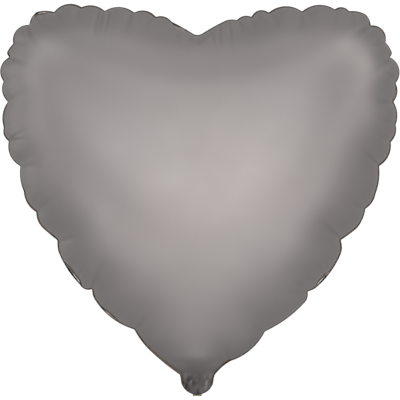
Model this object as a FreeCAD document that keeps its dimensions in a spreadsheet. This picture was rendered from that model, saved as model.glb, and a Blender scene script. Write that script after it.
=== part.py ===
import FreeCAD, Part
import math
import os

# Heart-shaped foil balloon, filled, in millimetres.
# Two films are welded together round a scalloped heart and drawn out into a short neck at the
# tip.  A flat film valve lies in the neck and reaches up inside.  The film on each side of the
# throat is one piece in life; it is parted at the fold, so that the neck can bend.
# The origin is the middle of the throat, where a ribbon is tied.  +Z is up, the front faces -Y.

doc = FreeCAD.newDocument("heart_foil_balloon")

SIZES = {
    "panel_depth": 88.0,  # rise of each panel above the weld
    "film_wall": 0.6,  # modelled wall of a panel
    "weld_thick": 0.6,  # modelled thickness of the perimeter weld
    "weld_width": 5.2,
    "weld_inset": 2.4,  # panels' rim to the weld's outer edge
    "dome_middle": 178.0,  # height of the panels' crown over the throat
    "envelope_end": 1.2,  # lower edge of the weld above the throat
    "neck_start": 0.6,  # upper edge of the neck below the throat
    "neck_root_width": 31.4,
    "neck_end_width": 29.4,
    "neck_shoulder": 7.0,  # where the neck's sides run into its round end
    "neck_length": 17.3,
    "neck_film": 0.3,  # modelled thickness of a neck film
    "neck_seam_width": 3.1,
    "valve_film": 0.2,  # modelled thickness of a valve film
    "valve_slit": 0.2,  # space between the two valve films
    "valve_width": 24.0,
    "valve_edge": 5.0,  # width of the weld along each edge of the valve
    "valve_taper_start": 9.0,  # depth in the neck where the mouth narrows
    "valve_taper_end": 14.0,
    "tongue_width": 8.4,
    "tongue_reach": 1.3,  # the valve's mouth past the end of the neck
    "throat_weld": 2.4,  # height of the weld between valve and panels
    "coat_width": 14.0,
    "coat_thick": 0.1,
    "flap_start": 4.6,  # lower edge of the part of the valve that swings
    "flap_length": 74.0,
    "flap_corner": 4.0,
}

# The outer edge of the weld, from the throat's right side over the cleft to its left side.
# Each scallop, from notch to notch, is one arc or several; each arc is where it starts (x, z)
# and how far it bulges out.
SCALLOPS = [
    [(16.4, 1.2, -1.0)],
    [(31.0, 14.0, 4.3)],
    [(63.0, 41.5, 2.3), (99.5, 68.0, 1.5)],
    [(102.5, 78.7, 0.9), (112.5, 83.9, 2.0), (133.5, 113.5, 1.2)],
    [(133.4, 126.3, 0.3), (148.5, 137.4, 1.4)],
    [(156.4, 155.6, 1.8), (165.7, 169.0, 1.6)],
    [(169.2, 195.3, 3.8)],
    [(180.0, 217.5, 2.3)],
    [(184.5, 233.5, 2.5)],
    [(182.5, 255.0, 2.7)],
    [(184.5, 272.5, 6.2)],
    [(179.0, 296.5, 0.6), (181.0, 301.0, 0.6)],
    [(175.0, 310.5, 5.6)],
    [(161.3, 326.0, 1.1), (156.5, 336.3, 1.2)],
    [(141.0, 339.3, 2.9)],
    [(128.0, 341.0, 5.2)],
    [(97.5, 339.0, 5.5)],
    [(66.5, 338.0, 4.2)],
    [(50.5, 334.0, 2.4)],
    [(37.0, 331.0, 0.9), (26.0, 330.3, 0.4)],
    [(4.0, 318.1, -0.9)],  # the cleft
    [(-3.5, 318.1, 0.4), (-24.0, 329.6, 2.6)],
    [(-38.5, 334.0, 3.8)],
    [(-58.5, 338.0, 4.5)],
    [(-86.0, 339.5, 3.3)],
    [(-107.5, 343.0, 5.2)],
    [(-133.0, 338.5, 1.2), (-149.0, 338.6, 1.6)],
    [(-156.0, 326.5, 5.9)],
    [(-171.0, 309.0, 0.5), (-176.8, 301.0, 0.6)],
    [(-174.5, 296.5, 5.7)],
    [(-180.0, 274.0, 3.3)],
    [(-176.0, 255.0, 3.1)],
    [(-179.8, 231.0, 2.4)],
    [(-175.2, 218.5, 4.5)],
    [(-164.4, 195.2, 1.7), (-161.2, 171.5, 2.8)],
    [(-149.6, 152.3, 1.7), (-143.5, 137.5, 0.2)],
    [(-129.9, 126.2, 0.4), (-129.2, 116.0, 1.9), (-108.9, 84.8, 2.4)],
    [(-97.7, 80.9, 0.7), (-95.5, 71.5, 4.3)],
    [(-58.5, 43.3, 1.0), (-44.3, 24.0, 0.7)],
]
LAST_NOTCH = (-16.2, 1.2)
LONG_ARC = 35.0  # from this length on, an arc's round shape takes three points
THROAT_CORNER = (12.0, 2.6)  # lower corners of the panels
THROAT_MIDDLE = (4.0, 2.0)

# Left side of the weld along each edge of the valve.
VALVE_EDGES = {
    "left": "-Sizes.valve_width / 2",
    "right": "Sizes.valve_width / 2 - Sizes.valve_edge",
}

# Heights of the sections that a panel is drawn through, as parts of its depth.
SECTION_HEIGHTS = [0.0, 0.10, 0.25, 0.42, 0.60, 0.76, 0.88, 0.96, 1.0]
CROWN_FLAT = 0.995  # the last section lies just short of the true crown
DOME_POWER = 2.4
SIDE_SLOPE = 0.54  # 0.5 is upright at the weld, 1 is a straight taper
TIP_SLOPE = 0.50  # added towards the tip
CLEFT_SLOPE = 0.26  # added towards the cleft


def make_sheet():
    """The spreadsheet that holds the driving sizes."""
    sheet = doc.addObject("Spreadsheet::Sheet", "Sizes")
    for row, (alias, value) in enumerate(SIZES.items(), start=1):
        sheet.set(f"A{row}", alias)
        sheet.set(f"B{row}", str(value))
        sheet.setAlias(f"B{row}", alias)
    doc.recompute()
    return sheet


SHEET = make_sheet()


def size(alias):
    """A size read from the sheet."""
    return float(getattr(SHEET, alias))


# ---------------------------------------------------------------- helpers


def flat_body(label, edges, front, thickness):
    """A flat film: a sketch on the XZ plane, padded towards the front from the depth front."""
    body = doc.addObject("PartDesign::Body", label)
    body.Label = label
    sketch = body.newObject("Sketcher::SketchObject", label + "_outline")
    plane = [f for f in body.Origin.OriginFeatures if f.Role == "XZ_Plane"][0]
    sketch.AttachmentSupport = [(plane, "")]
    sketch.MapMode = "FlatFace"
    for edge in edges:
        sketch.addGeometry(edge, False)
    sketch.setExpression(".AttachmentOffset.Base.z", front)
    pad = body.newObject("PartDesign::Pad", label + "_pad")
    pad.Profile = sketch
    pad.setExpression("Length", thickness)
    body.Tip = pad
    return body


def strip(label, left, front, low, width, thickness, height):
    """A flat strip whose corner and sizes are expressions of the sheet."""
    box = doc.addObject("Part::Box", label)
    box.Label = label
    box.setExpression("Length", width)
    box.setExpression("Width", thickness)
    box.setExpression("Height", height)
    box.setExpression(".Placement.Base.x", left)
    box.setExpression(".Placement.Base.y", front)
    box.setExpression(".Placement.Base.z", low)
    return box


def pair(label, first, second):
    """Two separate solids in one node."""
    group = doc.addObject("Part::Compound", label)
    group.Label = label
    group.Links = [first, second]
    return group


def line(start, end):
    """A straight sketch edge from one (x, z) point to another."""
    return Part.LineSegment(FreeCAD.Vector(*start, 0), FreeCAD.Vector(*end, 0))


def outline(points):
    """Straight sketch edges round a closed polygon."""
    return [line(a, b) for a, b in zip(points, points[1:] + points[:1])]


# ---------------------------------------------------------------- heart outline


def scallop_arcs():
    """The arcs of each scallop, as their start, their end and their bulge."""
    starts = [arc[:2] for scallop in SCALLOPS for arc in scallop] + [LAST_NOTCH]
    scallops = []
    number = 0
    for scallop in SCALLOPS:
        arcs = []
        for _, _, bulge in scallop:
            arcs.append((starts[number], starts[number + 1], bulge))
            number += 1
        scallops.append(arcs)
    return scallops


def outward(start, end):
    """Unit direction that points out of the heart from a line along its rim."""
    length = math.dist(start, end)
    return (end[1] - start[1]) / length, (start[0] - end[0]) / length


def arc_point(arc, part):
    """The point of an arc at a part of its way."""
    start, end, bulge = arc
    out_x, out_z = outward(start, end)
    rise = bulge * 4 * part * (1 - part)
    x = start[0] + (end[0] - start[0]) * part + out_x * rise
    z = start[1] + (end[1] - start[1]) * part + out_z * rise
    return x, z


def scallop_edges():
    """Sketch arcs round the whole heart."""
    edges = []
    for scallop in scallop_arcs():
        for arc in scallop:
            through = [arc[0], arc_point(arc, 0.5), arc[1]]
            edges.append(Part.Arc(*[FreeCAD.Vector(x, z, 0) for x, z in through]))
    return edges


def scallop_points(arcs):
    """Points of a scallop between its notches."""
    points = []
    for arc in arcs:
        is_long = math.dist(arc[0], arc[1]) > LONG_ARC
        points += [arc_point(arc, part) for part in ((0.25, 0.5, 0.75) if is_long else (0.5,))]
        if arc is not arcs[-1]:
            points.append(arc[1])
    return points


def rim_stations(inset):
    """Points inset from the weld's edge, along the scallops and at their notches.

    Each is (x, z, swell_x, swell_z): a point of the inset line from notch to notch, and the way
    from there to the scallop.
    """
    stations = []
    scallops = scallop_arcs()
    lines = [(arcs[0][0], arcs[-1][1]) for arcs in scallops]
    for number, (arcs, (start, end)) in enumerate(zip(scallops, lines)):
        out_x, out_z = outward(start, end)
        for x, z in scallop_points(arcs):
            swell = (x - start[0]) * out_x + (z - start[1]) * out_z
            reach = swell + inset
            stations.append((x - out_x * reach, z - out_z * reach, out_x * swell, out_z * swell))
        if number + 1 < len(lines):
            next_x, next_z = outward(*lines[number + 1])
            mean_x = out_x + next_x
            mean_z = out_z + next_z
            length = math.hypot(mean_x, mean_z)
            x = end[0] - mean_x / length * inset
            z = end[1] - mean_z / length * inset
            stations.append((x, z, 0.0, 0.0))
    return stations


def rim_round_throat():
    """The panels' rim, all the way round, as stations."""
    cx, cz = THROAT_CORNER
    mx, mz = THROAT_MIDDLE
    throat = [(x, z, 0.0, 0.0) for x, z in ((-cx, cz), (-mx, mz), (mx, mz), (cx, cz))]
    return throat + rim_stations(size("weld_inset"))


def make_perimeter_seam():
    """The flat weld that joins the panels, open at the throat for the valve."""
    edge = doc.addObject("Sketcher::SketchObject", "weld_edge")
    edge.Placement = FreeCAD.Placement(FreeCAD.Vector(), FreeCAD.Rotation(FreeCAD.Vector(1, 0, 0), 90))
    for arc in scallop_edges():
        edge.addGeometry(arc, False)
    edge.addGeometry(line(LAST_NOTCH, SCALLOPS[0][0][:2]), False)
    ring = doc.addObject("Part::Offset2D", "weld_ring")
    ring.Source = edge
    ring.Fill = True
    ring.setExpression("Value", "-Sizes.weld_width")
    band = doc.addObject("Part::Extrusion", "weld_band")
    band.Base = ring
    band.DirMode = "Custom"
    band.Dir = FreeCAD.Vector(0, 1, 0)
    band.Solid = True
    band.Symmetric = True
    band.setExpression("LengthFwd", "Sizes.weld_thick")
    opening = strip(
        "throat_opening",
        "-Sizes.valve_width / 2",
        "-Sizes.weld_thick",
        "0",
        "Sizes.valve_width",
        "2 * Sizes.weld_thick",
        "2 * Sizes.weld_width",
    )
    seam = doc.addObject("Part::Cut", "perimeter_seam")
    seam.Label = "perimeter_seam"
    seam.Base = band
    seam.Tool = opening
    return seam


# ---------------------------------------------------------------- panels


def section_radius(angle, height):
    """How far out a section reaches, as a part of the rim's distance from the crown's axis."""
    tip = max(0.0, -math.sin(angle)) ** 3
    cleft = max(0.0, math.sin(angle)) ** 3
    slope = SIDE_SLOPE + TIP_SLOPE * tip + CLEFT_SLOPE * cleft
    return (1 - (height * CROWN_FLAT) ** (1 / slope)) ** (1 / DOME_POWER)


def dome(wall):
    """The solid inside a panel, its rim and crown drawn in by wall."""
    middle = size("dome_middle")
    rise = size("panel_depth") - wall
    base = size("weld_thick") / 2
    rim = rim_round_throat()
    knots = [0.0]
    for a, b in zip(rim, rim[1:] + rim[:1]):
        knots.append(knots[-1] + math.dist(a[:2], b[:2]))
    sections = []
    for height in SECTION_HEIGHTS:
        swell = (1 - height) ** 2
        ring = []
        for x, z, swell_x, swell_z in rim:
            angle = math.atan2(z - middle, x)
            part = section_radius(angle, height)
            reach = (math.hypot(x, z - middle) - wall) * part
            out_x = reach * math.cos(angle) + swell_x * swell * part
            out_z = reach * math.sin(angle) + swell_z * swell * part
            ring.append(FreeCAD.Vector(out_x, -base - rise * height, middle + out_z))
        curve = Part.BSplineCurve()
        curve.interpolate(Points=ring, PeriodicFlag=True, Parameters=knots)
        sections.append(Part.Wire([curve.toShape()]))
    return Part.makeLoft(sections, True, False, False)


def make_panels():
    """The two domed films; the back one is the front one's mirror image."""
    front = doc.addObject("Part::Feature", "front_panel")
    front.Label = "front_panel"
    front.Shape = dome(0.0).cut(dome(size("film_wall")))
    back = doc.addObject("Part::Mirroring", "back_panel")
    back.Label = "back_panel"
    back.Source = front
    back.Normal = FreeCAD.Vector(0, 1, 0)
    return [front, back]


# ---------------------------------------------------------------- neck


def tab_edges():
    """The neck's outline: two tapering sides and a round end."""
    top = -size("neck_start")
    root = size("neck_root_width") / 2
    end = size("neck_end_width") / 2
    shoulder = -size("neck_shoulder")
    low = -size("neck_length")
    round_end = Part.Arc(
        FreeCAD.Vector(-end, shoulder, 0), FreeCAD.Vector(0, low, 0), FreeCAD.Vector(end, shoulder, 0)
    )
    sides = [line((-root, top), (-end, shoulder)), line((end, shoulder), (root, top))]
    return sides + [round_end, line((root, top), (-root, top))]


def make_neck_seam(label, left):
    """One edge of the neck, where its two films are welded."""
    between = flat_body(label + "_blank", tab_edges(), "-Sizes.weld_thick / 2", "Sizes.weld_thick")
    window = strip(
        label + "_window",
        left,
        "-Sizes.weld_thick",
        "-Sizes.neck_length",
        "Sizes.neck_seam_width",
        "2 * Sizes.weld_thick",
        "Sizes.neck_length",
    )
    seam = doc.addObject("Part::Common", label)
    seam.Label = label
    seam.Base = between
    seam.Tool = window
    return seam


def make_neck():
    """The two neck films and the seams down their edges."""
    right_edge = "Sizes.neck_root_width / 2 - Sizes.neck_seam_width"
    behind = "-Sizes.weld_thick / 2 - Sizes.neck_film"
    return [
        flat_body("neck_front_film", tab_edges(), "Sizes.weld_thick / 2", "Sizes.neck_film"),
        flat_body("neck_back_film", tab_edges(), behind, "Sizes.neck_film"),
        make_neck_seam("neck_seam_left", "-Sizes.neck_root_width / 2"),
        make_neck_seam("neck_seam_right", right_edge),
    ]


# ---------------------------------------------------------------- valve


def mouth_edges():
    """The valve's lower end: full width in the neck, then a narrow tongue."""
    half = size("valve_width") / 2
    tongue = size("tongue_width") / 2
    top = -size("neck_start")
    taper = -size("valve_taper_start")
    root = -size("valve_taper_end")
    low = -size("neck_length") - size("tongue_reach")
    left = [(-half, top), (-half, taper), (-tongue, root), (-tongue, low)]
    return outline(left + [(-x, z) for x, z in left[::-1]])


def make_valve_mouth():
    """The valve's lower end, which bends with the neck."""
    behind = "-Sizes.weld_thick / 2"
    welds = []
    for name, left in VALVE_EDGES.items():
        welds.append(
            strip(
                "mouth_weld_" + name,
                left,
                "-Sizes.valve_slit / 2",
                "-Sizes.valve_taper_start",
                "Sizes.valve_edge",
                "Sizes.valve_slit",
                "Sizes.valve_taper_start - Sizes.neck_start",
            )
        )
    return [
        flat_body("valve_mouth_front", mouth_edges(), "Sizes.valve_slit / 2", "Sizes.valve_film"),
        flat_body("valve_mouth_back", mouth_edges(), behind, "Sizes.valve_film"),
        pair("valve_mouth_edge_welds", *welds),
    ]


def make_throat_welds():
    """Where the valve is welded to the panels, and the coat that keeps its slit open there."""
    left = "-Sizes.valve_width / 2"
    low = "Sizes.envelope_end"
    lengths = ("Sizes.valve_width", "Sizes.valve_film", "Sizes.throat_weld")
    return [
        strip("valve_weld_front", left, "-Sizes.weld_thick / 2", low, *lengths),
        strip("valve_weld_back", left, "Sizes.valve_slit / 2", low, *lengths),
        strip(
            "valve_release_coat",
            "-Sizes.coat_width / 2",
            "Sizes.valve_slit / 2 - Sizes.coat_thick",
            low,
            "Sizes.coat_width",
            "Sizes.coat_thick",
            "Sizes.throat_weld",
        ),
    ]


def make_flap_film(label, front):
    """One film of the valve's upper end, its free corners rounded."""
    film = strip(
        label + "_blank",
        "-Sizes.valve_width / 2",
        front,
        "Sizes.flap_start",
        "Sizes.valve_width",
        "Sizes.valve_film",
        "Sizes.flap_length",
    )
    doc.recompute()
    top = film.Shape.BoundBox.ZMax
    corners = []
    for number, edge in enumerate(film.Shape.Edges, start=1):
        box = edge.BoundBox
        if box.ZMin > top - 0.01 and box.XLength < 0.01:
            corners.append((number, size("flap_corner"), size("flap_corner")))
    rounded = doc.addObject("Part::Fillet", label)
    rounded.Label = label
    rounded.Base = film
    rounded.Edges = corners
    return rounded


def make_valve_flap():
    """The valve's upper end, which hangs in the gas and is pressed shut by it."""
    welds = []
    for name, left in VALVE_EDGES.items():
        welds.append(
            strip(
                "flap_weld_" + name,
                left,
                "-Sizes.valve_slit / 2",
                "Sizes.flap_start",
                "Sizes.valve_edge",
                "Sizes.valve_slit",
                "Sizes.flap_length - Sizes.flap_corner",
            )
        )
    return [
        make_flap_film("valve_flap_front", "-Sizes.valve_slit / 2 - Sizes.valve_film"),
        make_flap_film("valve_flap_back", "Sizes.valve_slit / 2"),
        pair("valve_flap_edge_welds", *welds),
    ]


# ---------------------------------------------------------------- build and write

parts = [make_perimeter_seam()]
parts += make_panels()
parts += make_throat_welds()
parts += make_neck()
parts += make_valve_mouth()
parts += make_valve_flap()
doc.recompute()

for item in doc.Objects:
    if {"Invalid", "Error"} & set(item.State):
        raise RuntimeError(f"{item.Name} did not compute: {item.State}")
for item in parts:
    if item.Shape.isNull() or not item.Shape.isValid() or not item.Shape.Solids:
        raise RuntimeError(f"{item.Label} has no valid solid")

os.makedirs("parts", exist_ok=True)
for item in parts:
    item.Shape.exportStep(os.path.join("parts", item.Label + ".step"))
    box = item.Shape.BoundBox
    print(
        f"{item.Label:24s} solids {len(item.Shape.Solids)} volume {item.Shape.Volume:10.2f}"
        f"  x {box.XMin:.1f}..{box.XMax:.1f}  y {box.YMin:.2f}..{box.YMax:.2f}"
        f"  z {box.ZMin:.1f}..{box.ZMax:.1f}"
    )
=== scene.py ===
"""Heart-shaped foil balloon: metallised film skins, welded rim, flat neck tab and valve lip."""
import math

import bpy
import numpy as np
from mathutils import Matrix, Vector


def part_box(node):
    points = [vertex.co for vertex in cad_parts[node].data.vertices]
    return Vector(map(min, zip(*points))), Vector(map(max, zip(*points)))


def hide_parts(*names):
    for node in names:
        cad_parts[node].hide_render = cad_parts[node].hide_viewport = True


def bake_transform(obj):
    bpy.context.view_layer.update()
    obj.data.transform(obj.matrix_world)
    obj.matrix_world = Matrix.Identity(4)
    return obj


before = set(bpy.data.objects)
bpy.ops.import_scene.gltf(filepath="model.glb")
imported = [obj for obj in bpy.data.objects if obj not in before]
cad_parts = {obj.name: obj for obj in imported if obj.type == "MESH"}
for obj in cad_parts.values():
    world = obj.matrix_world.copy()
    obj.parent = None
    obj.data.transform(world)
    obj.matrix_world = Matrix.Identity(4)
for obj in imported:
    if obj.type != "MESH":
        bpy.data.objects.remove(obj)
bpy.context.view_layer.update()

# Lengths are in metres; the few in plain millimetres say so. Levels are heights over the throat,
# where the neck joins the heart. Unless it says otherwise, a pair of numbers is a range, from the
# least to the most, or from where a change begins to where it ends.
MM = 0.001

# The skins' grid: columns round the rim, rows from the rim to the middle.
COLUMNS = 896
ROWS = 56
MOST_HALVINGS = 5               # the columns are halved at most this often on the way in
NECK_DENSITY = 1.8              # columns stand this much closer on the neck than on the heart
DENSE_BELOW = 4 * MM
GRID_CENTRE = np.array([0.0, 178 * MM])
FILM = 0.14 * MM                # thickness of a skin, drawn a little thicker than real film
SAME_PLANE = 0.01 * MM          # CAD points this near a plane lie on it
SAME_LEVEL = 0.1 * MM           # and CAD points this near in height are on one level
SAME_POINT = 6                  # and they are one point when this many decimals agree
BATCH = 2000                    # points worked out at a time
LEAST_DISTANCE = 1e-7           # keeps a division from failing at the rim itself
HALVING_MARGIN = 1.001          # how much shorter than half a row is before its columns are halved

# The dome.
HALF_DEPTH = -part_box("front_panel")[0].y
WIDEST_LEVEL = 200 * MM         # height at which the balloon is deepest
LEVELS = 80                     # heights below it at which the width of the middle is taken
LOWEST_LEVEL = 0.5 * MM         # the lowest of them, over the rim's lowest point
ROUNDNESS = 1.55                # 2 would make a section an ellipse, less makes it leaner
TIP_FLATTENING = 0.75           # share of the height that the tip loses on the way to the throat
TIP_FULLNESS = 0.6              # how much the tip's sections are as full-sided as the middle's
CLEFT_SPAN = 38 * MM            # half the width of the dip between the lobes
CLEFT_FADE = (0.6, 1.4)         # the bridging of the dip ends between these shares of the span
CLEFT_LEVEL = 331 * MM          # level of the rim on both sides of the dip
CLEFT_FILL = 0.9                # how far the film bridges the dip
CLEFT_WALL = 13 * MM            # width of the wall that falls to the rim there
LEAST_SHARE = 1e-6              # keeps a division from failing where there is no such wall
NECK_RISE = (-6 * MM, 19 * MM)  # levels between which the flat neck swells into the heart
NECK_GAP = 0.5 * MM             # the neck's film clears the valve's films, which lie inside it
NECK_GAP_FADE = (2 * MM, 14 * MM)   # levels over which that gap narrows to LEAST_GAP
LEAST_GAP = 0.15 * MM
EDGE_ROUNDING = 2.2 * MM        # creases and gaps grow over this distance from the weld
SEAM_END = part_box("neck_seam_left")[0].z
WELD_FADE = (-0.5 * MM, 3 * MM)     # over SEAM_END, where the weld narrows to nothing

# Creases start at the rim and run inwards, none of them on the neck.
CREASED_ABOVE = 5 * MM
CREASE_START = 2.5 * MM         # length over which a crease sinks in
CREASE_FADE = 1.2               # power by which it grows shallower towards its end
CREASE_RIDGES = 0.9             # how strong the low ridges beside it are
NOTCH_TURN = 0.12               # at a notch the rim turns back at least this much, in radians
SHARPEST_TURN = 1.2             # a notch that turns more counts as this
NOTCH_LEAN = 0.2                # a notch's crease is up to this much off square, in radians
NOTCH_DEPTH = (0.3, 0.8)        # its depth in mm: what every notch has, and more for each radian
NOTCH_DEPTH_SPREAD = (0.6, 1.2)
NOTCH_LENGTH = (10, 13)         # its length in mm, in the same way
NOTCH_LENGTH_SPREAD = (0.7, 1.3)
NOTCH_WIDTH = 1.3 * MM
NOTCH_WIDENING = 0.1            # width gained for each unit of length
SHORT_CREASES = 170             # short ones stand anywhere along the rim
SHORT_LEAN = 0.35
SHORT_DEPTH = (0.1, 0.4)        # mm
SHORT_LENGTH = (4, 13)          # mm
SHORT_WIDTH = 0.8 * MM
SHORT_WIDENING = 0.06
FAN_BEND = 0.15                 # a fan's creases bend aside by up to this share of their length
FAN_WIDENING = 0.03
# Creases that fan out from a few places: x, z, heading in degrees, length, width and depth in mm.
FAN_CREASES = (
    (-177, 218, 22, 28, 0.9, 3.0),
    (-176, 218, 9, 22, 0.8, 2.4),
    (-176, 217, -8, 16, 0.8, 1.8),
    (-152, 337, -52, 20, 1.4, 1.5),
    (-89, 340, -100, 34, 0.9, 2.0),
    (-80, 338, -92, 30, 0.9, 1.6),
    (11, 321, -70, 32, 1.1, 0.8),
    (22, 328, -97, 34, 0.9, 1.4),
    (30, 330, -92, 38, 0.9, 1.2),
    (-24, 329, -70, 30, 1.0, 0.7),
    (177, 309, -162, 20, 1.3, 1.5),
    (164, 326, -142, 18, 1.2, 1.4),
    (-113, 92, 42, 13, 1.2, 1.3),
    (-88, 64, 48, 12, 1.2, 1.3),
    (102, 78, 125, 14, 1.2, 1.3),
    (31, 13, 110, 10, 1.0, 1.0),
)

# Soft upright ridges of the gathered neck.
NECK_RIDGES = 9
RIDGE_PLACE = (0.1, 0.9)        # each stands somewhere in its share of the neck's width
RIDGE_SPAN = 28                 # mm, all of them together
RIDGE_LEAN = 0.3                # up to this much sideways for each unit of height
RIDGE_SPLAY = 6                 # more lean for each metre from the middle
RIDGE_WIDTH = (1.2, 2.4)        # mm
RIDGE_HEIGHT = (0.1, 0.45)      # mm
RIDGE_MIDDLE = (-15, 8)         # mm, level of its highest point
RIDGE_REACH = (4, 10)           # mm, upwards and downwards
RIDGE_FADE_UP = (2 * MM, 30 * MM)
RIDGE_FADE_SIDE = (12 * MM, 15.5 * MM)

# Painted shade and highlights on the film: how bright it is drawn, against 1 for the plain film of
# the heart.
NECK_PAINTED_SHADE = {-1: 0.225, 1: 0.4}    # painted shade of the gathered neck, in front and at the back
TIP_PAINTED_SHADE = 0.84                # painted shade of the tip just above it
NECK_TO_TIP = (-4 * MM, 12 * MM)    # levels between which the one becomes the other
TIP_TO_HEART = (15 * MM, 55 * MM)
PAINTED_BLOTS = 44                      # painted shade and painted highlight spots stand for crumples finer than the grid
BLOT_ASIDE = (-15, 15)          # mm
BLOT_LEVEL = (-18, 0)           # mm
BLOT_HALF_WIDTH = (0.5, 1.2)    # mm
BLOT_HALF_HEIGHT = (0.7, 2.2)   # mm
BLOT_STRENGTH = (-1.4, 1.3)
BLOT_LIMITS = (-0.55, 1.4)      # the spots together darken and brighten no more than this
BLOT_FADE = (-6 * MM, 6 * MM)
CREASE_PAINTED_SHADE = 0.13             # painted shade: how much darker the film gets for each mm of a crease's depth, and painted highlight on the ridges beside it
CREASE_PAINTED_SHADE_LIMITS = (0.72, 1.15)
PAINTED_LINE_INSET = 0.9 * MM      # a painted line on the film beside a wide weld, highlight where WIDE_WELD brightens it and shade where it darkens it, stands this far inside
PAINTED_LINE_HALF = 0.6 * MM       # and is about this wide on each side
MOUTH_SHADE_WIDTH = 1.1 * MM           # width of the painted shade along the cut edge round the neck's mouth
MOUTH_PAINTED_SHADE = 0.35
MOUTH_FADE = (0.4, 1.3)         # the darkness ends between these shares of that width
MOUTH_HEIGHT = 3 * MM           # it reaches no higher than this over the weld's end

# The welded rim.
BAND_SHOWN = 1.5 * MM           # width of weld that stands clear of the skins
BAND_TUCKED = 0.8 * MM          # width hidden between the skins
BAND_WANDER = 0.3 * MM          # the shown width wanders this much along the rim
WANDER_REACH = 9                # columns over which it wanders
WANDER_LIMITS = (-0.6 * MM, 0.9 * MM)
BAND_HALF = 0.15 * MM           # half the gap between the skins at the weld
BAND_FILLING = 0.95             # the weld fills this share of it
FLUTTER = 0.32 * MM             # how far the rim wanders out of its plane
FLUTTER_REACH = 7               # columns over which it does
FLUTTER_ABOVE = (2 * MM, 20 * MM)   # the neck stays flat
FLUTTER_FADE = 22 * MM          # the skins follow it over about this distance
BLUR_TAILS = 3                  # the blur of a wander ends at this many times its reach

# Brightness across the weld, from the cut edge inwards: the weld's own brown, with painted shade
# along the cut edge, at its inner line and where it is tucked, and painted highlights where it is
# wide and at glints. Of two or three numbers, the first holds everywhere, the second is added where
# the weld is wide and the third at a glint.
WIDE_OVER = (0.3 * MM, 1.2 * MM)    # it counts as wide when it is this much over BAND_SHOWN
BAND_DARK = 1.2 * MM            # width of the dark line of painted shade along the cut edge
NARROW_DARK = 0.8               # that line's share of the width where the weld is narrow
EVENLY_DARK = 0.6               # share of the line over which it is evenly dark
DARK_SHADE = 0.6
BESIDE_DARK_SHADE = (0.8, 0.9)
PALE_INSET = (0.5, 0.6, 0.6)    # mm from the weld's inner edge to its palest place, a painted highlight where it is wide and at glints
PALE_SHADE = (0.9, 0.8, 0.9)
LINE_WIDTH = (0.1, 0.4)         # mm, the line of painted shade where the weld meets the film
LINE_SHADE = 0.7
LEAST_STRIP = 0.1 * MM          # keeps the strips apart where the weld narrows to nothing
# painted shade on the part of the weld tucked between the skins
TUCKED_SHADE = 0.4
# A stretch of rim is at its full effect within the first of these shares of its reach, and has
# none beyond the second.
PATCH_FADE = (0.5, 1.2)
# Stretches where the weld shows wider: x, z, reach along the rim and extra width, all in mm, and
# how bright the painted line at the weld's inner edge and the painted line on the film beside it
# are.
WIDE_WELD = (
    (-148, 337, 11, 2.4, 0.05, 0.6),
    (-178, 243, 10, 0.9, 1.0, 1.0),
    (-16, 325, 8, 1.4, 0.9, 2.2),
    (-115, 95, 13, 2.5, 0.15, 0.85),
    (-78, 60, 11, 1.3, 0.15, 0.85),
    (117, 90, 9, 1.9, 0.15, 1.2),
    (168, 322, 10, 1.2, 1.0, 1.0),
    (183, 262, 9, 1.0, 1.0, 1.0),
    (28, 12, 5, 0.7, 0.7, 1.0),
)
# Stretches where painted shade makes the cut edge nearly black: x, z and reach along the rim, in
# mm.
BLACK_PAINTED_EDGE = (
    (-150, 338, 2.6),
    (-117, 95, 12),
    (-88, 62, 3),
    (118, 89, 7),
    (132, 111, 3),
    (28, 12, 4),
    (-21, 328, 6),
)
# Glints on the weld: x, z and reach along the rim, in mm.
GLINTS = (
    (-112, 89, 7),
    (116, 88, 5),
)

# Materials.
NOISE_MIDDLE = (0.3, 0.7)       # nearly all values of a noise lie between these
RAMP_ENDS = (0.35, 0.65)        # values of a noise at which a blend of two colours ends
FOIL_TINTS = ((0.455, 0.416, 0.412), (0.445, 0.416, 0.41))
FOIL_ROUGHNESS = (0.42, 0.48)
WELD_COLOURS = (                # brightness, and the weld's colour at it: black for painted shade, brown its own, grey and near white for painted highlights
    (0.0, (0, 0, 0)),
    (0.45, (0.185, 0.139, 0.108)),
    (0.75, (0.32, 0.295, 0.282)),
    (1.0, (0.85, 0.84, 0.83)),
)
WELD_UNEVENNESS = (0.36, 0.54)  # what the weld's brightness is multiplied by
WELD_ROUGHNESS = 0.5
VALVE_TINTS = ((0.16, 0.16, 0.07), (0.24, 0.23, 0.1))
VALVE_ROUGHNESS = 0.4
COAT_TINTS = ((0.6, 0.58, 0.52), (0.75, 0.73, 0.66))
COAT_ROUGHNESS = 0.8

# The studio.
VIEW_CENTRE = Vector((2.6 * MM, 0, 163.7 * MM))
CAMERA_DISTANCE = 1.8
VIEW_WIDTH = 0.372
SENSOR_WIDTH = 36
BACKDROP_RADIUS = 3.4
BACKDROP_GLOW = 1.05
FLOOR_RADIUS = 3.3
FLOOR_LEVEL = -0.45
FLOOR_GLOW = 0.82
WORLD_STRENGTH = 0.37
LIGHT_DISTANCE = 2.2
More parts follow.
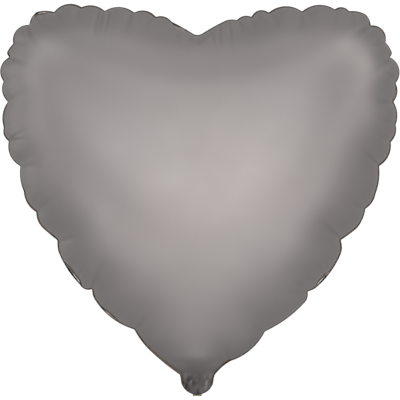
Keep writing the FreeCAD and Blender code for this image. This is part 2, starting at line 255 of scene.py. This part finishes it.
# name: (azimuth and elevation in degrees, width, height, power in watts)
LIGHTS = {
    "front_low": (8, -12, 1.5, 1.5, 7.9),
    "front_left": (-19, 0, 0.75, 0.75, 1.7),
    "front_right": (10, 18, 0.75, 0.75, 2.0),
    "front_high": (0, 36, 0.75, 0.75, 1.5),
    "overhead": (0, 75, 0.75, 0.75, 0.9),
    "below": (0, -50, 2.0, 1.0, 4.4),
    "left": (-38, 0, 1.0, 1.8, 1.7),
    "far_left": (-75, 5, 0.8, 1.8, 2.4),
    "upper_left": (-51, 46, 0.85, 0.85, 1.6),
    "high_left_side": (-72, 36, 0.75, 0.75, 1.0),
    "lower_left": (-48, -36, 0.75, 0.75, 1.9),
    "lower_right": (48, -36, 0.75, 0.75, 2.0),
    "right": (50, -8, 0.75, 1.2, 1.8),
    "upper_right": (46, 50, 1.3, 0.9, 2.5),
    "right_shoulder": (61, 35, 0.9, 0.9, 1.1),
    "far_right": (73, 16, 0.8, 1.5, 2.7),
    "side_left": (-112, 5, 0.9, 1.6, 1.2),
    "over_behind": (158, 66, 0.9, 0.9, 0.3),
    "behind": (180, 0, 0.8, 0.8, 5.0),
}

rng = np.random.default_rng(seed=20)


# ---------------------------------------------------------------- small helpers
def smoothstep(value, low, high):
    """0 below low, 1 above high, turning smoothly between them."""
    share = np.clip((value - low) / (high - low), 0, 1)
    return share * share * (3 - 2 * share)


def turned(direction, angle):
    """A direction turned anticlockwise."""
    c, s = math.cos(angle), math.sin(angle)
    return np.array([c * direction[0] - s * direction[1], s * direction[0] + c * direction[1]])


def inward(loop):
    """Unit normals of a closed anticlockwise loop, pointing inside."""
    along = np.roll(loop, -1, 0) - np.roll(loop, 1, 0)
    normals = np.stack([-along[:, 1], along[:, 0]], axis=1)
    return normals / np.hypot(*normals.T)[:, None]


def gaps_to(points, loop):
    """Distance from each point to the nearest point of a loop."""
    return np.linalg.norm(points[:, None, :] - loop[None], axis=2).min(1)


def smooth_noise(length, reach, amount):
    """A seeded wavy line of that many samples, blurred over reach samples."""
    values = rng.normal(size=length)
    tail = BLUR_TAILS * reach
    kernel = np.exp(-0.5 * (np.arange(-tail, tail + 1) / reach) ** 2)
    padded = np.concatenate([values[-tail:], values, values[:tail]])
    blurred = np.convolve(padded, kernel, "valid")
    return amount * blurred / blurred.std()


# ---------------------------------------------------------------- outlines
def flat_outline(node):
    """The edge of a flat node's front face, anticlockwise, as (x, z) points."""
    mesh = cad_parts[node].data
    front = min(v.co.y for v in mesh.vertices)
    number, points, follows = {}, [], {}
    for face in mesh.polygons:
        corners = [mesh.vertices[v].co for v in face.vertices]
        if any(co.y > front + SAME_PLANE for co in corners):
            continue
        ring = []
        for co in corners:
            key = (round(co.x, SAME_POINT), round(co.z, SAME_POINT))
            if key not in number:
                number[key] = len(points)
                points.append(key)
            ring.append(number[key])
        # An edge that two faces share is no part of the outline, so the second one cancels it.
        for a, b in zip(ring, ring[1:] + ring[:1]):
            if a in follows.get(b, []):
                follows[b].remove(a)
            else:
                follows.setdefault(a, []).append(b)
    first = next(a for a in follows if follows[a])
    loop = [first]
    while follows[loop[-1]][0] != first:
        loop.append(follows[loop[-1]][0])
    return np.array([points[i] for i in loop])


def stretch_between(loop, start, end):
    """The points of a loop from one index on to another."""
    count = (end - start) % len(loop)
    return loop[(start + np.arange(count + 1)) % len(loop)]


def whole_outline():
    """The rim of the heart, then the neck's edge, as one anticlockwise loop."""
    band = flat_outline("perimeter_seam")
    throat = np.flatnonzero(band[:, 1] < band[:, 1].min() + SAME_LEVEL)
    right = throat[np.argmax(band[throat, 0])]
    left = throat[np.argmin(band[throat, 0])]
    heart = stretch_between(band, right, left)
    neck = flat_outline("neck_front_film")
    roots = np.flatnonzero(neck[:, 1] > neck[:, 1].max() - SAME_LEVEL)
    left_root = roots[np.argmin(neck[roots, 0])]
    right_root = roots[np.argmax(neck[roots, 0])]
    return np.vstack([heart, stretch_between(neck, left_root, right_root)])


def spread_points(loop, count):
    """count points spread along a closed loop, denser on the neck."""
    closed = np.vstack([loop, loop[:1]])
    lengths = np.hypot(*np.diff(closed, axis=0).T)
    middles = (closed[1:] + closed[:-1]) / 2
    cost = lengths * np.where(middles[:, 1] < DENSE_BELOW, NECK_DENSITY, 1.0)
    at = np.concatenate([[0], np.cumsum(cost)])
    wanted = np.linspace(0, at[-1], count + 1)[:-1]
    return np.stack([np.interp(wanted, at, closed[:, k]) for k in (0, 1)], axis=1)


def notches(loop):
    """Index and turn, in radians, of each place where the rim turns back inwards."""
    along = np.roll(loop, -1, 0) - loop
    heading = np.arctan2(along[:, 1], along[:, 0])
    turn = heading - np.roll(heading, 1)
    turn = (turn + math.pi) % (2 * math.pi) - math.pi
    window = turn + np.roll(turn, 1) + np.roll(turn, -1)
    lowest = (window <= np.roll(window, 1)) & (window <= np.roll(window, -1))
    return [(int(i), -float(window[i])) for i in np.flatnonzero(lowest & (window < -NOTCH_TURN))]


def rim_patches(rim, patches):
    """1 at the named places of the rim, falling to 0 within their reach."""
    total = np.zeros(len(rim))
    for x, z, reach in patches:
        away = np.hypot(rim[:, 0] - x * MM, rim[:, 1] - z * MM) / (reach * MM)
        total = np.maximum(total, 1 - smoothstep(away, *PATCH_FADE))
    return total


def weld_cover(rim):
    """1 along the weld, falling to 0 round the open mouth of the neck."""
    return smoothstep(rim[:, 1], SEAM_END + WELD_FADE[0], SEAM_END + WELD_FADE[1])


# ---------------------------------------------------------------- the film's form
def narrowness(points, loop):
    """A length that grows with the distance from the loop: (sum over it of ds / r^3) ^ -1/2."""
    ends = np.roll(loop, -1, 0) - loop
    lengths = np.hypot(*ends.T)
    units = ends / lengths[:, None]
    total = np.zeros(len(points))
    for first in range(0, len(points), BATCH):
        offset = points[first:first + BATCH, None, :] - loop[None]
        before = -(offset * units).sum(2)
        after = before + lengths
        aside = np.abs(offset[:, :, 0] * units[:, 1] - offset[:, :, 1] * units[:, 0])
        aside = np.maximum(aside, LEAST_DISTANCE)
        pull = after / np.hypot(aside, after) - before / np.hypot(aside, before)
        total[first:first + BATCH] = (pull / aside ** 2).sum(1)
    return total ** -0.5


def swell(share):
    """Height of a filled film against its share of the widest place."""
    return np.sqrt(1 - (1 - np.minimum(share, 1)) ** ROUNDNESS)


def cleft_rise(loop):
    """How far the film bridges the dip between the lobes, at each rim point."""
    start, end = CLEFT_FADE
    near = 1 - smoothstep(np.abs(loop[:, 0]), start * CLEFT_SPAN, end * CLEFT_SPAN)
    low = np.clip(CLEFT_LEVEL - loop[:, 1], 0, None)
    return CLEFT_FILL * near * low * (loop[:, 1] > WIDEST_LEVEL)


def dome(points, loop):
    """Height of the filled film over the rim's plane."""
    bridged = loop + np.stack([0 * loop[:, 0], cleft_rise(loop)], axis=1)
    width = narrowness(points, bridged)
    widest = width.max()
    levels = np.linspace(loop[:, 1].min() + LOWEST_LEVEL, WIDEST_LEVEL, LEVELS)
    middle = narrowness(np.stack([0 * levels, levels], axis=1), bridged)
    here = np.where(points[:, 1] < WIDEST_LEVEL, np.interp(points[:, 1], levels, middle), widest)
    here = np.minimum(here, widest)
    measure = widest ** (1 - TIP_FULLNESS) * here ** TIP_FULLNESS
    height = HALF_DEPTH * swell(width / measure) * swell(here / widest) / swell(here / measure)
    below = np.clip((WIDEST_LEVEL - points[:, 1]) / WIDEST_LEVEL, 0, 1)
    height *= 1 - TIP_FLATTENING * below ** 2
    return height * smoothstep(points[:, 1], *NECK_RISE)


def crease(points, start, direction, length, width, depth, widening, bend=0.0):
    """Depth of a valley that runs from start, with a low ridge along each side."""
    offset = points - start
    forward = offset @ direction
    sideways = offset @ np.array([-direction[1], direction[0]]) - bend * forward ** 2 / length
    span = np.clip(forward / length, 0, 1)
    fade = np.where(forward > 0, (1 - span) ** CREASE_FADE, 0)
    fade = fade * smoothstep(forward, 0, CREASE_START)
    across = sideways / (width + widening * np.clip(forward, 0, None))
    return depth * fade * (1 - CREASE_RIDGES * across ** 2) * np.exp(-0.5 * across ** 2)


def creases(points, loop):
    """All the creases of one skin: from the notches, short ones between them, and the fans."""
    total = np.zeros(len(points))
    normals = inward(loop)
    for index, turn in notches(loop):
        if loop[index, 1] < CREASED_ABOVE:
            continue
        size = min(turn, SHARPEST_TURN)
        direction = turned(normals[index], rng.uniform(-NOTCH_LEAN, NOTCH_LEAN))
        depth = (NOTCH_DEPTH[0] + NOTCH_DEPTH[1] * size) * MM * rng.uniform(*NOTCH_DEPTH_SPREAD)
        length = (NOTCH_LENGTH[0] + NOTCH_LENGTH[1] * size) * MM * rng.uniform(*NOTCH_LENGTH_SPREAD)
        total += crease(points, loop[index], direction, length, NOTCH_WIDTH, depth, NOTCH_WIDENING)
    for _ in range(SHORT_CREASES):
        index = rng.integers(len(loop))
        if loop[index, 1] < CREASED_ABOVE:
            continue
        direction = turned(normals[index], rng.uniform(-SHORT_LEAN, SHORT_LEAN))
        depth = rng.uniform(*SHORT_DEPTH) * MM
        length = rng.uniform(*SHORT_LENGTH) * MM
        total += crease(points, loop[index], direction, length, SHORT_WIDTH, depth, SHORT_WIDENING)
    for x, z, heading, length, width, depth in FAN_CREASES:
        start = np.array([x, z]) * MM
        direction = turned(np.array([1.0, 0.0]), math.radians(heading))
        bend = rng.uniform(-FAN_BEND, FAN_BEND)
        sizes = (length * MM, width * MM, depth * MM)
        total += crease(points, start, direction, *sizes, FAN_WIDENING, bend)
    return total


def neck_crinkles(points):
    """Soft crumples of the gathered neck, mostly upright, running a little way up into the tip."""
    total = np.zeros(len(points))
    fade = 1 - smoothstep(points[:, 1], *RIDGE_FADE_UP)
    inside = 1 - smoothstep(np.abs(points[:, 0]), *RIDGE_FADE_SIDE)
    for ridge in range(NECK_RIDGES):
        share = (ridge + rng.uniform(*RIDGE_PLACE)) / NECK_RIDGES
        at = (share - 0.5) * RIDGE_SPAN * MM
        lean = rng.uniform(-RIDGE_LEAN, RIDGE_LEAN) + at * RIDGE_SPLAY
        width = rng.uniform(*RIDGE_WIDTH) * MM
        height = rng.uniform(*RIDGE_HEIGHT) * MM
        middle = rng.uniform(*RIDGE_MIDDLE) * MM
        reach = rng.uniform(*RIDGE_REACH) * MM
        across = (points[:, 0] - at - lean * points[:, 1]) / width
        along = (points[:, 1] - middle) / reach
        total += height * np.exp(-0.5 * (across ** 2 + along ** 2))
    return total * fade * inside


def painted_neck_blots(points):
    """What the painted shade and highlight spots of the gathered neck add to its brightness."""
    blots = np.zeros(len(points))
    for _ in range(PAINTED_BLOTS):
        spot = np.array([rng.uniform(*BLOT_ASIDE), rng.uniform(*BLOT_LEVEL)]) * MM
        reach = np.array([rng.uniform(*BLOT_HALF_WIDTH), rng.uniform(*BLOT_HALF_HEIGHT)]) * MM
        strength = rng.uniform(*BLOT_STRENGTH)
        blots += strength * np.exp(-0.5 * (((points - spot) / reach) ** 2).sum(1))
    return np.clip(blots, *BLOT_LIMITS) * (1 - smoothstep(points[:, 1], *BLOT_FADE))


def skin_painted_shade(points, loop, side, creased):
    """Painted shade and highlights on the film: on the neck, in creases, by wide welds and round
    the mouth.
    """
    # Painted shade: the neck and the tip are drawn darker than the heart.
    neck = NECK_PAINTED_SHADE[side]
    shade = neck + (TIP_PAINTED_SHADE - neck) * smoothstep(points[:, 1], *NECK_TO_TIP)
    shade += (1 - TIP_PAINTED_SHADE) * smoothstep(points[:, 1], *TIP_TO_HEART)
    # Painted shade and highlights of the neck's small crumples.
    shade *= 1 + painted_neck_blots(points)
    # Painted shade in the creases and painted highlight on their low ridges.
    shade *= np.clip(1 - CREASE_PAINTED_SHADE * creased / MM, *CREASE_PAINTED_SHADE_LIMITS)
    # Painted lines of highlight and shade on the film beside the wide welds.
    for x, z, reach, _, _, beside in WIDE_WELD:
        away = np.linalg.norm(points - np.array([x, z]) * MM, axis=1) / (reach * MM)
        near = away < PATCH_FADE[1]
        off_line = (gaps_to(points[near], loop) - PAINTED_LINE_INSET) / PAINTED_LINE_HALF
        line = np.exp(-0.5 * off_line ** 2)
        shade[near] *= 1 + (beside - 1) * line * (1 - smoothstep(away[near], *PATCH_FADE))
    # Painted shade along the cut edge round the neck's mouth.
    near = points[:, 1] < SEAM_END + MOUTH_HEIGHT
    gap = gaps_to(points[near], loop[loop[:, 1] < SEAM_END])
    lit = smoothstep(gap, MOUTH_FADE[0] * MOUTH_SHADE_WIDTH, MOUTH_FADE[1] * MOUTH_SHADE_WIDTH)
    shade[near] *= MOUTH_PAINTED_SHADE + (1 - MOUTH_PAINTED_SHADE) * lit
    return shade


# ---------------------------------------------------------------- meshes
def new_piece(name, points, faces, shade):
    """A smooth-shaded mesh object of that name, with a brightness at each point that holds painted
    shade and highlights.
    """
    mesh = bpy.data.meshes.new(name)
    mesh.from_pydata([tuple(p) for p in points], [], faces)
    mesh.attributes.new("shade", "FLOAT", "POINT").data.foreach_set("value", np.float32(shade))
    for face in mesh.polygons:
        face.use_smooth = True
    piece = bpy.data.objects.new(name, mesh)
    bpy.context.scene.collection.objects.link(piece)
    return piece


def grid_rows():
    """Share of the way out from the middle, and the number of columns, of each row."""
    rows = []
    for row in range(ROWS):
        out = math.cos(math.pi / 2 * row / ROWS)
        halvings = max(0, math.floor(-math.log2(out * HALVING_MARGIN)))
        rows.append((out, COLUMNS // 2 ** min(halvings, MOST_HALVINGS)))
    return rows


def grid_faces(rows):
    """Faces between the rows, halving the columns where a row has half as many as the last."""
    faces, first = [], 0
    for (_, count), (_, following) in zip(rows, rows[1:]):
        after = first + count
        if count == following:
            for i in range(count):
                j = (i + 1) % count
                faces.append((first + i, first + j, after + j, after + i))
        else:
            for i in range(following):
                j = (i + 1) % following
                left, middle, right = first + 2 * i, first + 2 * i + 1, first + (2 * i + 2) % count
                faces.append((left, middle, after + i))
                faces.append((middle, after + j, after + i))
                faces.append((middle, right, after + j))
        first = after
    last = rows[-1][1]
    faces += [(first + i, first + (i + 1) % last, first + last) for i in range(last)]
    return faces


def point_normals(points, faces):
    """Unit normals at the points, from the faces around them."""
    normals = np.zeros_like(points)
    for size in (3, 4):
        some = np.array([f for f in faces if len(f) == size])
        corners = points[some]
        if size == 3:
            cross = np.cross(corners[:, 1] - corners[:, 0], corners[:, 2] - corners[:, 0])
        else:
            cross = np.cross(corners[:, 2] - corners[:, 0], corners[:, 3] - corners[:, 1])
        for k in range(size):
            np.add.at(normals, some[:, k], cross)
    return normals / np.linalg.norm(normals, axis=1)[:, None]


def closed_film(outer, faces, side):
    """Points and faces of a film of even thickness under an outer surface, closed along the rim."""
    if side > 0:
        faces = [f[::-1] for f in faces]
    inner = outer - FILM * point_normals(outer, faces)
    count = len(outer)
    edge = [(i, (i + 1) % COLUMNS) for i in range(COLUMNS)]
    walls = [(b, a, a + count, b + count) for a, b in edge]
    if side > 0:
        walls = [f[::-1] for f in walls]
    lining = [tuple(i + count for i in f[::-1]) for f in faces]
    return np.vstack([outer, inner]), faces + lining + walls


def make_skin(name, side, rim, lift, shown):
    """One skin, heart and neck in one film: side -1 is the front, 1 the back."""
    loop = rim + inward(rim) * shown[:, None]
    welded = weld_cover(rim)
    rows = grid_rows()
    bridging = cleft_rise(loop) / cleft_rise(loop).max()
    flat, wave, rise, wall = [], [], [], []
    for out, count in rows:
        step = COLUMNS // count
        flat.append(GRID_CENTRE + out * (loop[::step] - GRID_CENTRE))
        away = np.hypot(*(loop[::step] - GRID_CENTRE).T) * (1 - out)
        wave.append(lift[::step] * np.exp(-away / FLUTTER_FADE))
        rise.append(np.maximum(smoothstep(away, 0, EDGE_ROUNDING), 1 - welded[::step]))
        inset = np.clip(away / (CLEFT_WALL * bridging[::step] + LEAST_SHARE), 0, 1)
        wall.append(np.sqrt(1 - (1 - inset) ** 2))
    flat = np.vstack(flat + [GRID_CENTRE[None]])
    wave = np.concatenate(wave + [[0.0]])
    rise = np.concatenate(rise + [[1.0]])
    height = dome(flat, loop) * np.concatenate(wall + [[1.0]])
    height[:COLUMNS] = 0
    creased = creases(flat, loop) * rise
    height -= creased
    in_neck = 1 - smoothstep(flat[:, 1], *NECK_GAP_FADE)
    height = np.maximum(height, (LEAST_GAP + (NECK_GAP - LEAST_GAP) * in_neck) * rise)
    height += neck_crinkles(flat) * rise + BAND_HALF
    outer = np.stack([flat[:, 0], side * height + wave, flat[:, 1]], axis=1)
    points, faces = closed_film(outer, grid_faces(rows), side)
    shade = skin_painted_shade(flat, loop, side, creased)
    return new_piece(name, points, faces, np.tile(shade, 2))


def weld_shades(rim, shown):
    """Distance from the cut edge and the brightness there, with its painted shade and highlights,
    at each place across one side's weld.
    """
    black = 1 - rim_patches(rim, BLACK_PAINTED_EDGE)
    wide = smoothstep(shown, BAND_SHOWN + WIDE_OVER[0], BAND_SHOWN + WIDE_OVER[1])
    glint = rim_patches(rim, GLINTS)
    dark = np.minimum(BAND_DARK, NARROW_DARK * shown + LEAST_STRIP)
    line = LINE_SHADE + 0 * shown
    for x, z, reach, _, edge, _ in WIDE_WELD:
        line += (edge - LINE_SHADE) * rim_patches(rim, ((x, z, reach),))
    beside_dark = BESIDE_DARK_SHADE[0] + BESIDE_DARK_SHADE[1] * wide
    pale_inset = (PALE_INSET[0] + PALE_INSET[1] * wide + PALE_INSET[2] * glint) * MM
    pale = PALE_SHADE[0] + PALE_SHADE[1] * wide + PALE_SHADE[2] * glint
    line_width = (LINE_WIDTH[0] + LINE_WIDTH[1] * wide) * MM
    return (
        (0 * shown, DARK_SHADE * black),
        (EVENLY_DARK * dark, DARK_SHADE * black),
        (dark, beside_dark * black),
        (shown - pale_inset, pale),
        (shown - line_width, line),
        (shown + LEAST_STRIP, line),
        (shown + BAND_TUCKED, TUCKED_SHADE + 0 * shown),
    )


def make_band(rim, lift, shown):
    """The welded rim, a flat strip round the heart and down the neck's sides."""
    low = np.flatnonzero(rim[:, 1] < SEAM_END)
    count = COLUMNS - len(low)
    order = (low[-1] + 1 + np.arange(count)) % COLUMNS
    normals = inward(rim)
    across_one_side = weld_shades(rim, shown)
    crossings = [(inset, -1, shade) for inset, shade in across_one_side]
    crossings += [(inset, 1, shade) for inset, shade in across_one_side[::-1]]
    layers, shades = [], []
    for inset, side, shade in crossings:
        place = rim + normals * inset[:, None]
        level = lift + side * BAND_HALF * BAND_FILLING
        layers.append(np.stack([place[:, 0], level, place[:, 1]], axis=1)[order])
        shades.append(shade[order])
    points = np.stack(layers, axis=1).reshape(-1, 3)
    across = len(crossings)
    faces = []
    for i in range(count - 1):
        for k in range(across):
            a, b = across * i + k, across * i + (k + 1) % across
            faces.append((a, b, b + across, a + across))
    faces.append(tuple(range(across))[::-1])
    last = across * (count - 1)
    faces.append(tuple(last + k for k in range(across)))
    return new_piece("seam_band", points, faces, np.stack(shades, axis=1).reshape(-1))


# ---------------------------------------------------------------- materials
def new_material(name, metallic):
    """A new material, its nodes and its shader."""
    material = bpy.data.materials.new(name)
    material.use_nodes = True
    shader = material.node_tree.nodes["Principled BSDF"]
    shader.inputs["Metallic"].default_value = metallic
    return material, material.node_tree, shader


def noise(tree, scale, detail=2.0):
    """Noise over the object's own coordinates."""
    place = tree.nodes.new("ShaderNodeTexCoord")
    texture = tree.nodes.new("ShaderNodeTexNoise")
    texture.inputs["Scale"].default_value = scale
    texture.inputs["Detail"].default_value = detail
    tree.links.new(place.outputs["Object"], texture.inputs["Vector"])
    return texture.outputs["Fac"]


def spread(tree, value, low, high):
    """Maps the middle of a noise to a range."""
    node = tree.nodes.new("ShaderNodeMapRange")
    node.inputs["From Min"].default_value = NOISE_MIDDLE[0]
    node.inputs["From Max"].default_value = NOISE_MIDDLE[1]
    node.inputs["To Min"].default_value = low
    node.inputs["To Max"].default_value = high
    tree.links.new(value, node.inputs["Value"])
    return node.outputs["Result"]


def colour_ramp(tree, value, stops):
    """A colour for each value, blended between stops of (value, colour)."""
    ramp = tree.nodes.new("ShaderNodeValToRGB")
    elements = ramp.color_ramp.elements
    elements[0].position = stops[0][0]
    elements[1].position = stops[-1][0]
    for position, _ in stops[1:-1]:
        elements.new(position)
    for element, (_, colour) in zip(elements, stops):
        element.color = (*colour, 1)
    tree.links.new(value, ramp.inputs["Fac"])
    return ramp.outputs["Color"]


def tinted(tree, value, tints):
    """A colour that a noise blends between two tints."""
    return colour_ramp(tree, value, tuple(zip(RAMP_ENDS, tints)))


def held_shade(tree):
    """The brightness held at the mesh's points: painted shade and highlights."""
    held = tree.nodes.new("ShaderNodeAttribute")
    held.attribute_name = "shade"
    return held.outputs["Fac"]


def bump(tree, shader, value, distance, strength):
    """Relief from a value."""
    node = tree.nodes.new("ShaderNodeBump")
    node.inputs["Distance"].default_value = distance
    node.inputs["Strength"].default_value = strength
    tree.links.new(value, node.inputs["Height"])
    tree.links.new(node.outputs["Normal"], shader.inputs["Normal"])


def satin_foil():
    """The skins: satin grey metal, its colour scaled by the held brightness, which paints shade and
    highlights on it.
    """
    material, tree, shader = new_material("satin_foil", metallic=1)
    scaled = tree.nodes.new("ShaderNodeVectorMath")
    scaled.operation = "SCALE"
    tree.links.new(tinted(tree, noise(tree, scale=9), FOIL_TINTS), scaled.inputs[0])
    tree.links.new(held_shade(tree), scaled.inputs["Scale"])
    tree.links.new(scaled.outputs["Vector"], shader.inputs["Base Color"])
    roughness = spread(tree, noise(tree, scale=40, detail=4), *FOIL_ROUGHNESS)
    tree.links.new(roughness, shader.inputs["Roughness"])
    bump(tree, shader, noise(tree, scale=2500, detail=3), distance=0.02 * MM, strength=0.5)
    return material


def weld_band():
    """The weld: uneven brown and grey metal, its colour picked by the held brightness, which paints
    shade and highlights on it.
    """
    material, tree, shader = new_material("weld_band", metallic=1)
    shader.inputs["Roughness"].default_value = WELD_ROUGHNESS
    uneven = tree.nodes.new("ShaderNodeMath")
    uneven.operation = "MULTIPLY"
    tree.links.new(held_shade(tree), uneven.inputs[0])
    factor = spread(tree, noise(tree, scale=160, detail=3), *WELD_UNEVENNESS)
    tree.links.new(factor, uneven.inputs[1])
    colour = colour_ramp(tree, uneven.outputs["Value"], WELD_COLOURS)
    tree.links.new(colour, shader.inputs["Base Color"])
    bump(tree, shader, noise(tree, scale=900), distance=0.1 * MM, strength=0.6)
    return material


def valve_film():
    """The olive plastic of the valve."""
    material, tree, shader = new_material("valve_film", metallic=0)
    shader.inputs["Roughness"].default_value = VALVE_ROUGHNESS
    tree.links.new(tinted(tree, noise(tree, scale=300), VALVE_TINTS), shader.inputs["Base Color"])
    return material


def release_coat():
    """The dull pale coat that keeps the valve's slit open under the weld."""
    material, tree, shader = new_material("release_coat", metallic=0)
    shader.inputs["Roughness"].default_value = COAT_ROUGHNESS
    tree.links.new(tinted(tree, noise(tree, scale=500), COAT_TINTS), shader.inputs["Base Color"])
    return material


# ---------------------------------------------------------------- the balloon
MATERIALS = {
    "satin_foil": satin_foil(),
    "weld_band": weld_band(),
    "valve_film": valve_film(),
    "release_coat": release_coat(),
}


def make_balloon():
    """The two skins and the welded rim, in place of the CAD's panels, neck films and seams."""
    rim = spread_points(whole_outline(), COLUMNS)
    lift = smooth_noise(COLUMNS, FLUTTER_REACH, FLUTTER)
    lift = lift * smoothstep(rim[:, 1], *FLUTTER_ABOVE)
    wander = smooth_noise(COLUMNS, WANDER_REACH, BAND_WANDER)
    shown = BAND_SHOWN + np.clip(wander, *WANDER_LIMITS)
    for x, z, reach, extra, _, _ in WIDE_WELD:
        shown = shown + extra * MM * rim_patches(rim, ((x, z, reach),))
    shown = shown * weld_cover(rim)
    front = make_skin("front_skin", -1, rim, lift, shown)
    back = make_skin("back_skin", 1, rim, lift, shown)
    band = make_band(rim, lift, shown)
    for piece, slot in ((front, "satin_foil"), (back, "satin_foil"), (band, "weld_band")):
        piece.data.materials.append(MATERIALS[slot])
        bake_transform(piece)
    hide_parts("front_panel", "neck_front_film")
    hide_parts("back_panel", "neck_back_film")
    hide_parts("perimeter_seam", "neck_seam_left", "neck_seam_right")


def finish_valve():
    """Materials of the valve's CAD nodes, which stay as they are."""
    for name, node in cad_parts.items():
        if not name.startswith("valve"):
            continue
        slot = "release_coat" if name == "valve_release_coat" else "valve_film"
        node.data.materials.clear()
        node.data.materials.append(MATERIALS[slot])


# ---------------------------------------------------------------- the studio
def make_camera():
    """A camera straight in front of the balloon."""
    data = bpy.data.cameras.new("camera")
    data.sensor_width = SENSOR_WIDTH
    data.lens = data.sensor_width * CAMERA_DISTANCE / VIEW_WIDTH
    camera = bpy.data.objects.new("camera", data)
    camera.location = VIEW_CENTRE + Vector((0, -CAMERA_DISTANCE, 0))
    camera.rotation_euler = (math.radians(90), 0, 0)
    bpy.context.scene.collection.objects.link(camera)
    bpy.context.scene.camera = camera


def glowing(name, strength):
    """A material that only glows, evenly white."""
    material = bpy.data.materials.new(name)
    material.use_nodes = True
    nodes = material.node_tree.nodes
    nodes.clear()
    output = nodes.new("ShaderNodeOutputMaterial")
    emission = nodes.new("ShaderNodeEmission")
    emission.inputs["Strength"].default_value = strength
    material.node_tree.links.new(emission.outputs[0], output.inputs["Surface"])
    return material


def make_stage(name, material):
    """Stages the last thing added. Only the camera sees it, so the foil doesn't reflect it."""
    thing = bpy.context.object
    thing.name = name
    thing.data.materials.append(material)
    thing.visible_diffuse = False
    thing.visible_glossy = False
    thing.visible_transmission = False
    thing.visible_shadow = False


def make_surroundings():
    """A pale backdrop and floor, and the even light of a white room."""
    bpy.ops.mesh.primitive_uv_sphere_add(
        segments=64, ring_count=32, radius=BACKDROP_RADIUS, location=VIEW_CENTRE)
    make_stage("backdrop", glowing("backdrop_white", BACKDROP_GLOW))
    bpy.ops.mesh.primitive_circle_add(
        vertices=96, radius=FLOOR_RADIUS, fill_type="NGON", location=(0, 0, FLOOR_LEVEL))
    make_stage("floor", glowing("floor_pale", FLOOR_GLOW))
    world = bpy.data.worlds.new("studio")
    bpy.context.scene.world = world
    world.use_nodes = True
    world.node_tree.nodes["Background"].inputs["Color"].default_value = (1, 1, 1, 1)
    world.node_tree.nodes["Background"].inputs["Strength"].default_value = WORLD_STRENGTH


def make_lights():
    """Soft lamps at one distance all round, each facing the balloon's middle."""
    for name, (azimuth, elevation, width, height, power) in LIGHTS.items():
        data = bpy.data.lights.new(name, "AREA")
        data.shape = "RECTANGLE"
        data.size, data.size_y = width, height
        data.energy = power
        light = bpy.data.objects.new(name, data)
        a, e = math.radians(azimuth), math.radians(elevation)
        way = Vector((math.sin(a) * math.cos(e), -math.cos(a) * math.cos(e), math.sin(e)))
        light.location = VIEW_CENTRE + way * LIGHT_DISTANCE
        light.rotation_euler = way.to_track_quat("Z", "Y").to_euler()
        bpy.context.scene.collection.objects.link(light)


make_camera()
make_balloon()
finish_valve()
make_surroundings()
make_lights()
bpy.context.scene.view_settings.view_transform = "Standard"
